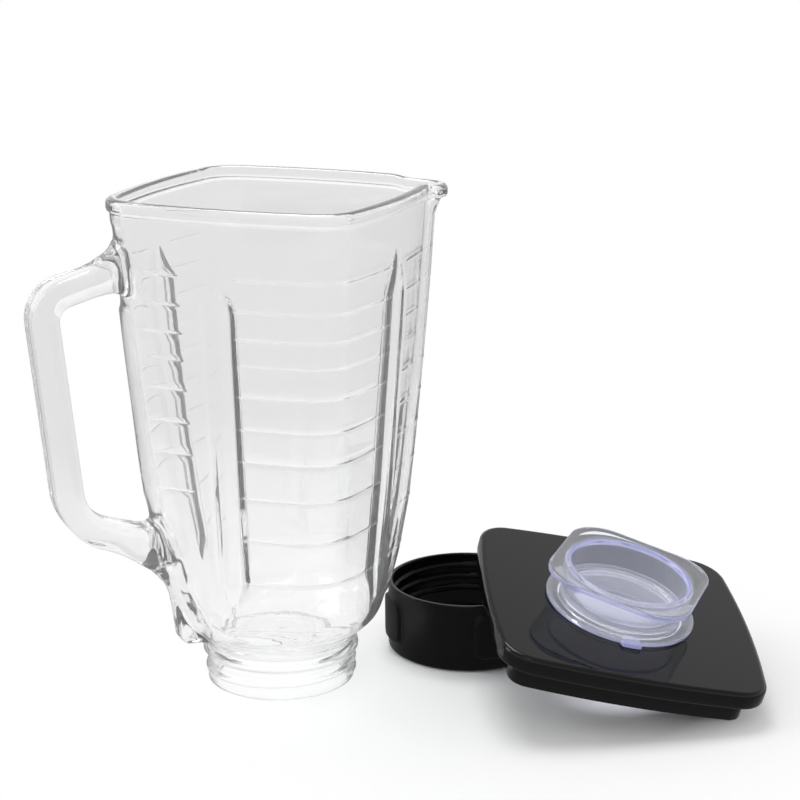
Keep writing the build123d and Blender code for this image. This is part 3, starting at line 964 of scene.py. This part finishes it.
core_r = 0.5
core_rows = [(core_r, neck_height + 1.0)]
for z in np.arange(neck_height + 1.0, jar_height - 8.0, 4.0):
    core_rows.append((outside(z) - 0.5 * glass_wall, z))
core_rows.append((core_r, core_rows[-1][1]))
core = ring_piece("mid_wall", core_rows, columns)
boolean(handle, lug, "UNION")
boolean(handle, core, "DIFFERENCE")
old_points = KDTree(len(jar.data.vertices) + len(handle.data.vertices))
for i, spot in enumerate(np.concatenate([get_points(jar), get_points(handle)])):
    old_points.insert(spot, i)
old_points.balance()
boolean(jar, handle, "UNION")
jar_points = get_points(jar)
new_point_gap = 2e-6
seam = [i for i, spot in enumerate(jar_points) if old_points.find(spot)[2] > new_point_gap]
print("joined casting:", len(jar_points), "vertices, seam", len(seam))

# %% Soft roots
handle_root = 8.0
lug_root = 2.5
skin_depth = 1.5
lug_top = body_at(0.17) * MM
seam_points = KDTree(len(seam))
for i in seam:
    seam_points.insert(jar_points[i], i)
seam_points.balance()
seam_gap = np.array([seam_points.find(spot)[2] for spot in jar_points]) / MM
outer = np.zeros(len(jar_points), dtype=bool)
for i in np.flatnonzero(seam_gap < handle_root):
    x, y, z = jar_points[i] / MM
    skin = np.interp(math.atan2(y, x) % FULL_TURN, columns, outside(z), period=FULL_TURN)
    outer[i] = math.hypot(x, y) > skin - skin_depth
above_lug = jar_points[:, 2] > lug_top
handle_roots = outer & (seam_gap < handle_root) & above_lug
lug_roots = outer & (seam_gap < lug_root) & ~above_lug


def pick_points(piece, chosen):
    """Edit mode with only the chosen vertices selected."""
    choose(piece)
    bpy.ops.object.mode_set(mode="EDIT")
    bpy.ops.mesh.select_mode(type="VERT")
    bpy.ops.mesh.select_all(action="DESELECT")
    bpy.ops.object.mode_set(mode="OBJECT")
    piece.data.vertices.foreach_set("select", chosen)
    bpy.ops.object.mode_set(mode="EDIT")


def relax(piece, chosen, times):
    """Smooth the chosen vertices."""
    pick_points(piece, chosen)
    bpy.ops.mesh.vertices_smooth(factor=0.5, repeat=times)
    bpy.ops.object.mode_set(mode="OBJECT")


def drop_spare_points(piece):
    """Dissolve the vertices with only two edges that a boolean leaves along its seam."""
    ends = np.empty(2 * len(piece.data.edges), dtype=np.int32)
    piece.data.edges.foreach_get("vertices", ends)
    spare = np.bincount(ends, minlength=len(piece.data.vertices)) == 2
    pick_points(piece, spare)
    bpy.ops.mesh.dissolve_verts()
    bpy.ops.object.mode_set(mode="OBJECT")
    return int(spare.sum())


relax(jar, handle_roots, 36)
relax(jar, lug_roots, 8)
print("spare seam points dissolved:", drop_spare_points(jar))
face_outwards(jar)
dress(jar, jar_finish, 60.0)
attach(jar, "root")
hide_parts("glass_jar")
print("soft root vertices:", int(handle_roots.sum() + lug_roots.sum()))
print("jar triangles:", sum(len(face.vertices) - 2 for face in jar.data.polygons))

# %% [markdown]
# ## Collar
#
# The collar is a moulded ring with a floor. It could be a tube with pads joined on, but a moulding has
# no joints. So its outline is drawn once and spun round its axis, and then the grip pads move a little
# proud of the wall and the inner thread winds down from the rim, vertex by vertex. The plastic is a
# satin black with a very fine grain, and rougher on the pads.

# %% Collar finish
collar_finish, nodes, links, shader = new_finish("satin_black")
shader.inputs["Base Color"].default_value = grey(0.003)
shader.inputs["Specular IOR Level"].default_value = 0.15
shader.inputs["IOR"].default_value = 1.5
pad_roughness = 0.16
fine_grain = noise_at(nodes, links, scale=900.0, detail=2.0)
wall_roughness = spread(nodes, links, fine_grain, low=0.18, high=0.28)
roughness = math_node(nodes, links, "MULTIPLY_ADD", mark_of(nodes, "grip"), pad_roughness, wall_roughness)
links.new(roughness, shader.inputs["Roughness"])
bump(nodes, links, shader, fine_grain, strength=0.03, depth=0.0001)
print("made", collar_finish.name)

# %% Collar outline
coupling = mounts["coupling_hole"]
collar_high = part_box("bottom_collar")[1] / MM
collar_height = collar_high.z
collar_x, collar_y = (v / MM for v in coupling["pos_m"][:2])
hole_r = coupling["dims"]["r_mm"]
floor_thick = coupling["dims"]["length_mm"]
collar_inner = ring_r + 0.25
collar_outer = collar_inner + 2.0
draft = 0.2
foot_r = collar_outer - draft
foot_round = 1.6
outline = [(hole_r, 0.5), (hole_r + 0.5, 0.0), (32.0, 0.0), (foot_r - foot_round, 0.0)]
for turn in np.radians((22, 45, 68, 90)):
    outline.append((foot_r - foot_round + foot_round * math.sin(turn),
                    foot_round - foot_round * math.cos(turn)))
for z in np.arange(2.2, collar_height - 0.6, 0.62):
    outline.append((foot_r + draft * (z - foot_round) / (collar_height - 2.2), z))
outline += [(collar_outer, collar_height - 0.45), (collar_outer - 0.14, collar_height - 0.13),
            (collar_outer - 0.45, collar_height), (collar_inner + 0.45, collar_height),
            (collar_inner + 0.13, collar_height - 0.13), (collar_inner, collar_height - 0.45)]
outline += [(collar_inner, z) for z in np.arange(collar_height - 0.9, floor_thick + 0.8, -0.5)]
outline += [(collar_inner - 0.2, floor_thick + 0.25), (collar_inner - 0.7, floor_thick),
            (31.0, floor_thick), (hole_r + 0.5, floor_thick), (hole_r, floor_thick - 0.5)]
print("collar outline points:", len(outline))

# %% Collar
start_clean()
bpy.ops.mesh.primitive_circle_add(vertices=len(outline), radius=1.0, fill_type="NOTHING")
collar, seat = fresh_piece("collar_ring")
outline_spots = np.empty_like(seat)
for (reach, z), index in zip(outline, loop_order(seat)):
    outline_spots[index] = (collar_x + reach, collar_y, z)
put_points(collar, outline_spots * MM)
bpy.ops.object.mode_set(mode="EDIT")
bpy.ops.mesh.select_all(action="SELECT")
bpy.ops.mesh.spin(
    steps=360, angle=FULL_TURN, center=(collar_x * MM, collar_y * MM, 0.0), axis=(0.0, 0.0, 1.0)
)
bpy.ops.object.mode_set(mode="OBJECT")
face_outwards(collar)
print("collar vertices:", len(collar.data.vertices))

# %% Grip pads
pad_turn = 220.0
pad_half = 0.27 * collar_outer
pad_tall = 0.35 * collar_height
pad_middle = 0.53 * collar_height
pad_round = 0.54 * pad_half
pad_slope = 1.1
pad_rise = 1.75
collar_spots = get_points(collar) / MM
from_axis = collar_spots[:, :2] - (collar_x, collar_y)
collar_reach = np.hypot(from_axis[:, 0], from_axis[:, 1])
collar_turn = np.degrees(np.arctan2(from_axis[:, 1], from_axis[:, 0]))
collar_z = collar_spots[:, 2]
off = np.radians((collar_turn - pad_turn + 45.0) % 90.0 - 45.0) * collar_outer
edge_x = np.abs(off) - (pad_half - pad_round)
edge_z = np.abs(collar_z - pad_middle) - (pad_tall - pad_round)
past_edge = np.hypot(np.maximum(edge_x, 0), np.maximum(edge_z, 0))
pad_edge = past_edge + np.minimum(np.maximum(edge_x, edge_z), 0) - pad_round
pad = ease(np.clip(-pad_edge / pad_slope, 0, 1))
pad[(collar_reach < collar_outer - 0.6) | (collar_z < 1.7)] = 0.0
mark_points(collar, "grip", pad)
print("grip pad vertices:", int((pad > 0).sum()))

# %% Inner thread
inner_rise = 1.15
on_inside = (np.abs(collar_reach - collar_inner) < 0.02) & (collar_z < collar_height - 0.5)
wind = on_inside * winding((collar_turn % 360.0) / 360.0, collar_z, start=collar_height - 4.0,
                           pitch=-5.6, turns=3.1, crest=1.4, slope=1.1)
moved = pad_rise * pad - inner_rise * wind
collar_spots[:, :2] += moved[:, None] * from_axis / collar_reach[:, None]
put_points(collar, collar_spots * MM)
dress(collar, collar_finish, 45.0)
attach(collar, "root")
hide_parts("bottom_collar")
print("inner thread vertices:", int((wind > 0).sum()))

# %% [markdown]
# ## Lid
#
# The lid is a flat square shell with a plug that enters the jar's mouth and a tube round the filler
# hole. It could be a box that is inset and extruded. Its bowed sides and round edges come more easily
# from rows again, as a ring: over the top, down the edge, round the plug, and back up through the
# hole. The lid leans on the collar, so its place is measured from its CAD node: the largest flat face
# gives its up direction, and the smallest box round it gives its sides. The plastic is a gloss black
# whose polish varies a little.


# %% Lid place
def flat_piece_place(name):
    """Matrix of a leaning square piece: its top's middle, with the axes along its sides."""
    node = frame["nodes"][name].data
    normals = np.empty(len(node.polygons) * 3)
    areas = np.empty(len(node.polygons))
    node.polygons.foreach_get("normal", normals)
    node.polygons.foreach_get("area", areas)
    normals = normals.reshape(-1, 3)
    kinds, which = np.unique(np.round(normals, 2), axis=0, return_inverse=True)
    which = which.ravel()
    weight = np.bincount(which, areas)
    weight[kinds[:, 2] < 0] = 0.0
    best = which == weight.argmax()
    up = (normals[best] * areas[best, None]).sum(0)
    up /= np.linalg.norm(up)
    spots = np.empty(len(node.vertices) * 3)
    node.vertices.foreach_get("co", spots)
    spots = spots.reshape(-1, 3)
    first = np.cross((0.0, 1.0, 0.0), up)
    first /= np.linalg.norm(first)
    second = np.cross(up, first)
    flat = np.column_stack([spots @ first, spots @ second])
    found = None
    for angle in np.radians(np.arange(0.0, 90.0, 0.05)):
        u = flat @ (math.cos(angle), math.sin(angle))
        v = flat @ (-math.sin(angle), math.cos(angle))
        size = np.ptp(u) * np.ptp(v)
        if found is None or size < found[0]:
            found = (size, angle, (u.max() + u.min()) / 2, (v.max() + v.min()) / 2, np.ptp(u) / 2)
    size, angle, u, v, half = found
    x = first * math.cos(angle) + second * math.sin(angle)
    y = np.cross(up, x)
    top_middle = x * u + y * v + up * (spots @ up).max()
    x, y = max([(x, y), (y, -x), (-x, -y), (-y, x)], key=lambda pair: pair[0][0])
    place = np.eye(4)
    place[:3, 0], place[:3, 1], place[:3, 2], place[:3, 3] = x, y, up, top_middle
    return Matrix(place.tolist()), half / MM


lid_place, lid_half = flat_piece_place("lid")
print("lid half width", round(lid_half, 2), "place", [round(v / MM, 2) for v in lid_place.translation])

# %% Lid finish
lid_finish, nodes, links, shader = new_finish("gloss_black")
shader.inputs["Base Color"].default_value = grey(0.003)
shader.inputs["Specular IOR Level"].default_value = 0.3
shader.inputs["IOR"].default_value = 1.5
polish = noise_at(nodes, links, scale=45.0, detail=2.0)
links.new(spread(nodes, links, polish, low=0.015, high=0.045), shader.inputs["Roughness"])
print("made", lid_finish.name)

# %% Lid sizes
lid_side = 7.0 * lid_half
lid_corner = 0.25 * lid_half
flange = 7.6
edge_round = 0.28 * flange
plug_bottom = 18.0
plug_wall = 2.4
plug_out = top_half - glass_wall - 0.5 - lid_half
plug_in = plug_out - plug_wall
filler_r = 28.6
tube_r = filler_r + plug_wall
tube_bottom = 0.62 * plug_bottom
lid_columns = np.arange(360) * FULL_TURN / 360


def lid_outline(grow):
    """The lid's bowed square, grown by a distance."""
    return square_radius(lid_columns, lid_half + grow, lid_side + grow, lid_corner + grow)


def rounded_foot(outer, inner, bottom, high, low):
    """Rows round the foot of a wall: down its outside, across, and up its inside."""
    return [(outer, bottom + high), (outer - 0.15, bottom + low), (outer - 0.5, bottom),
            (inner + 0.5, bottom), (inner + 0.15, bottom + low), (inner, bottom + high)]


print("plug", round(-plug_out, 2), "mm in from the edge, filler hole radius", filler_r)

# %% Lid
lid_rows = []
for out in (0.0, 0.06, 0.2, 0.4, 0.6, 0.8, 0.93, 1.0):
    lid_rows.append(((1 - out) * (filler_r + 0.9) + out * lid_outline(-edge_round - 0.4), 0.0))
for turn in np.radians((0, 15, 30, 45, 60, 75, 90)):
    lid_rows.append((lid_outline(edge_round * (math.sin(turn) - 1)), edge_round * (math.cos(turn) - 1)))
under_rows = [(0.0, -4.4), (0.0, -flange + 0.8), (-0.25, -flange + 0.3), (-0.8, -flange), (-4.0, -flange),
              (plug_out + 0.3, -flange), (plug_out, -flange - 0.3), (plug_out, -13.0)]
under_rows += rounded_foot(plug_out, plug_in, -plug_bottom, high=0.6, low=0.2)
under_rows += [(plug_in, -10.0), (plug_in, -plug_wall - 0.9), (plug_in - 0.25, -plug_wall - 0.25),
               (plug_in - 0.9, -plug_wall)]
lid_rows += [(lid_outline(grow), z) for grow, z in under_rows]
for inwards in (0.3, 0.6, 0.9):
    lid_rows.append(((1 - inwards) * lid_outline(plug_in - 0.9) + inwards * (tube_r + 0.7), -plug_wall))
lid_rows += [(tube_r + 0.7, -plug_wall), (tube_r + 0.2, -plug_wall - 0.2), (tube_r, -plug_wall - 0.7)]
lid_rows += rounded_foot(tube_r, filler_r, -tube_bottom, high=0.5, low=0.15)
lid_rows += [(filler_r, -6.0), (filler_r, -0.9), (filler_r + 0.12, -0.4), (filler_r + 0.4, -0.1)]
lid = ring_piece("lid_shell", lid_rows, lid_columns)
lid.data.transform(lid_place)
dress(lid, lid_finish, 40.0)
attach(lid, "root")
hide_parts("lid")
print("lid vertices:", len(lid.data.vertices))

# %% [markdown]
# ## Filler cap
#
# The cap is a small clear cup that sits square on the lid, in its hole, with a square pouring flange
# on top, a ring that rests on the lid, and a skirt that enters the hole. It could be a cylinder that is
# inset and extruded many times. It is closed at its floor, so here its skin starts from a sphere: from
# the middle of the cup's floor, up and over the flange, down the outside, round the skirt, and to the
# middle of the underside. The plastic is clear with a violet tint. Where one looks through more of it,
# at the edges, a deeper tint and a milky haze are painted on, and a lighter painted haze on the cup's
# wall and floor stands in for the light seen through them. Each vertex carries its share of that. The
# plastic is clear with a violet tint that gathers at the edges, where one
# looks through more of it, so each vertex carries how near it is to an edge.


# %% Capped pieces
def capped_piece(name, rows, angles, first_z, last_z):
    """A closed piece: loops round the axis, with a point at each end."""
    start_clean()
    bpy.ops.mesh.primitive_uv_sphere_add(segments=len(angles), ring_count=len(rows) + 1, radius=1.0)
    piece, seat = fresh_piece(name)
    column = column_of(seat, len(angles))
    lift = np.arcsin(np.clip(seat[:, 2], -1, 1)) / math.pi + 0.5
    row = np.rint(lift * (len(rows) + 1)).astype(int)
    closed_rows = [(0.0, first_z)] + rows + [(0.0, last_z)]
    radius = np.array([np.broadcast_to(reach, angles.shape) for reach, z in closed_rows])
    height = np.array([z for reach, z in closed_rows])
    put_points(piece, round_axis(radius[row, column], angles[column], height[row]))
    face_outwards(piece)
    return piece


# %% Cap finish
cap_finish, nodes, links, shader = new_finish("clear_violet")
shader.inputs["IOR"].default_value = 1.49
shader.inputs["Roughness"].default_value = 0.03
# Share of painted tint and haze: deeper and milkier at the edges, where one looks through more plastic, and
# a lighter painted haze on the cup's wall and floor
edge = mark_of(nodes, "edge")
tint = nodes.new("ShaderNodeMix")
tint.data_type = "RGBA"
tint.inputs["A"].default_value = (0.92, 0.93, 0.97, 1.0)
tint.inputs["B"].default_value = (0.48, 0.50, 0.96, 1.0)
gathering = 1.6
links.new(math_node(nodes, links, "POWER", edge, gathering), tint.inputs["Factor"])
links.new(tint.outputs["Result"], shader.inputs["Base Color"])
links.new(spread(nodes, links, edge, low=0.94, high=0.55), shader.inputs["Transmission Weight"])
let_lamps_through(nodes, links, shader, tint=(0.95, 0.95, 0.98, 1.0))
print("made", cap_finish.name)

# %% Cap sizes
cap_height = 18.4
cap_wall = 2.0
cup_r = 26.6
cup_low_r = 25.0
cup_out = cup_low_r + cap_wall
cup_floor = 4.4
cup_under = cup_floor - cap_wall
rest = 0.1
ring_top = rest + cap_wall
rim_ring_r = filler_r + 5.1
skirt_r = filler_r - 0.4
skirt_in = skirt_r - cap_wall
skirt_bottom = -0.45 * plug_bottom
flange_half = rim_ring_r - 0.9
flange_turn = math.radians(-25.0)
flange_low = cap_height - 1.2 * cap_wall
tab_turn = math.radians(270.0)
tab_half = 4.9
tab_slope = 0.9
tab_reach = 2.6
cap_columns = np.arange(288) * FULL_TURN / 288


def cap_flange(grow):
    """Rounded square of the pouring flange, grown by a distance."""
    half = flange_half + grow
    round_r = 0.53 * flange_half + grow
    away = from_side_middle(cap_columns - flange_turn)
    meet = math.atan2(half - round_r, half)
    return np.where(away < meet, half / np.cos(away), corner_arc(away, half - round_r, round_r))


from_tab = np.abs((cap_columns - tab_turn + math.pi) % FULL_TURN - math.pi) * rim_ring_r
ring = rim_ring_r + tab_reach * ease(np.clip((tab_half - from_tab) / tab_slope, 0, 1))
print("cap ring radius", round(rim_ring_r, 1), "with a tab", tab_reach, "mm long")

# %% Filler cap
cap_rows = [(8.0, cup_floor), (16.0, cup_floor), (22.5, cup_floor), (24.0, cup_floor + 0.15),
            (24.75, cup_floor + 0.55), (cup_low_r, cup_floor + 1.2)]
for up in (0.25, 0.5, 0.75, 0.93):
    cap_rows.append((cup_low_r + (cup_r - cup_low_r) * up, cup_floor + (cap_height - cup_floor) * up))
cap_rows += [(cup_r + 0.12, cap_height - 0.35), (cup_r + 0.4, cap_height - 0.08), (cup_r + 0.8, cap_height)]
for out in (0.3, 0.65, 0.9):
    cap_rows.append(((1 - out) * (cup_r + 0.8) + out * cap_flange(-0.6), cap_height))
for grow, z in ((-0.6, cap_height), (-0.18, cap_height - 0.18), (0.0, cap_height - 0.6),
                (0.0, flange_low + 0.6), (-0.18, flange_low + 0.18), (-0.6, flange_low)):
    cap_rows.append((cap_flange(grow), z))
for inwards in (0.4, 0.85):
    cap_rows.append(((1 - inwards) * cap_flange(-0.6) + inwards * (cup_out + 1.7), flange_low))
cap_rows += [(cup_out + 1.6, flange_low - 0.5), (cup_out + 1.1, 10.5), (cup_out + 0.5, 6.0),
             (cup_out + 0.3, ring_top + 0.8), (cup_out + 0.6, ring_top + 0.2), (cup_out + 1.3, ring_top)]
cap_rows += [(ring - 2.5, ring_top), (ring - 0.5, ring_top), (ring - 0.13, ring_top - 0.13),
             (ring, ring_top - 0.5), (ring, rest + 0.5), (ring - 0.13, rest + 0.13), (ring - 0.5, rest),
             (ring - 2.5, rest)]
cap_rows += [(skirt_r + 0.6, rest), (skirt_r + 0.1, rest - 0.15), (skirt_r, rest - 0.7), (skirt_r, -4.0)]
cap_rows += rounded_foot(skirt_r, skirt_in, skirt_bottom, high=0.5, low=0.15)
cap_rows += [(skirt_in, -3.0), (skirt_in, cup_under - 0.9), (skirt_in - 0.3, cup_under - 0.25),
             (skirt_in - 1.0, cup_under), (18.0, cup_under), (9.0, cup_under)]
cap = capped_piece("cap_cup", cap_rows, cap_columns, cup_floor, cup_under)
print("cap vertices:", len(cap.data.vertices))

# %% Cap edges and painted haze
cap_spots = get_points(cap) / MM
cap_reach = np.hypot(cap_spots[:, 0], cap_spots[:, 1])
cap_turn = np.arctan2(cap_spots[:, 1], cap_spots[:, 0]) % FULL_TURN
cap_z = cap_spots[:, 2]
to_flange = np.interp(cap_turn, cap_columns, cap_flange(0.0), period=FULL_TURN) - cap_reach
high = cap_z > 0.5 * cap_height
# Painted deeper tint and haze along the lip, the ring's edge and the flange's edge, where one looks through
# more plastic
lip = np.clip(1.4 - np.abs(cap_reach - cup_r - 0.4), 0, 1) * (cap_z > cap_height - 1.5)
ring_edge = 0.8 * np.clip(cap_reach - rim_ring_r + 0.8, 0, 1) * ~high
flange_edge = 0.7 * np.clip(1.0 - to_flange / 0.7, 0, 1) * high
# Painted haze that lightens the cup's wall and floor, standing in for the light seen through them
cup_wall_painted_haze = 0.28 * ((cap_reach < cup_r + cap_wall + 0.5) & (cap_z > rest))
cup_floor_painted_haze = 0.22 * ((cap_reach < cup_low_r) & (np.abs(cap_z - cup_floor + 0.5 * cap_wall) < cap_wall))
mark_points(cap, "edge", np.max([lip, cup_wall_painted_haze, cup_floor_painted_haze, ring_edge, flange_edge], axis=0))
cap.data.transform(lid_place)
dress(cap, cap_finish, 40.0)
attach(cap, "root")
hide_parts("filler_cap")
print("cap edge vertices:", int((ring_edge + flange_edge + lip > 0).sum()))
